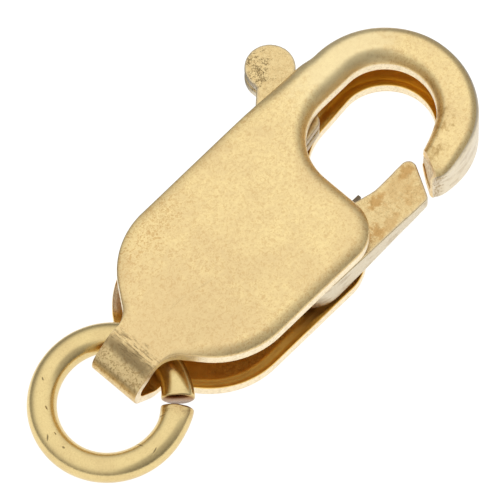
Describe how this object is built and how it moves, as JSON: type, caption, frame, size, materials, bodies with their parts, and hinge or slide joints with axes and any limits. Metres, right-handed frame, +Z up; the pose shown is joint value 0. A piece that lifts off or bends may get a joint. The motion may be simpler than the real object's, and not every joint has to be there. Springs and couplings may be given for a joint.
{
  "type": "lobster clasp with jump ring",
  "caption": "Lobster clasp of two rolled sheet shells joined at the tail, with a sprung two-layer trigger on a hidden pin and a cut jump ring through its tail loop.",
  "frame": {"origin": "under the middle of the whole object, on the plane that it lies on", "axes": "+X from the ring and tail towards the hook, +Y towards the thumb tab, +Z up out of the front shell"},
  "size_m": [0.0154, 0.0064, 0.0024],
  "materials": {
    "case_metal": "gold-filled sheet, tumbled satin with faint scratches and brown tarnish inside",
    "trigger_metal": "gold-filled sheet, satin with mottled tarnish on the gate",
    "pin_metal": "plain brass wire, hidden between the shells",
    "spring_metal": "thin spring strip, dull with tarnish",
    "ring_metal": "gold-filled wire, more polished than the case, with small nicks"
  },
  "bodies": {
    "clasp": {"case": "case_metal", "pivot_pin": "pin_metal", "spring": "spring_metal"},
    "lever": {"trigger": "trigger_metal"},
    "ring": {"jump_ring": "ring_metal"}
  },
  "joints": [
    {"name": "trigger_hinge", "type": "hinge", "parent": "clasp", "child": "lever", "pos_m": [0.00097, -0.00072, 0.0012], "axis": [0, 0, 1], "range_deg": [0, 25], "stiffness_Nm_per_rad": 0.008, "springref_deg": -11.46, "deforming": ["spring"]},
    {"name": "ring_hinge", "type": "hinge", "parent": "clasp", "child": "ring", "pos_m": [-0.00379, -0.00085, 0.00108], "axis": [0, 1, 0], "range_deg": [0, 62]}
  ]
}
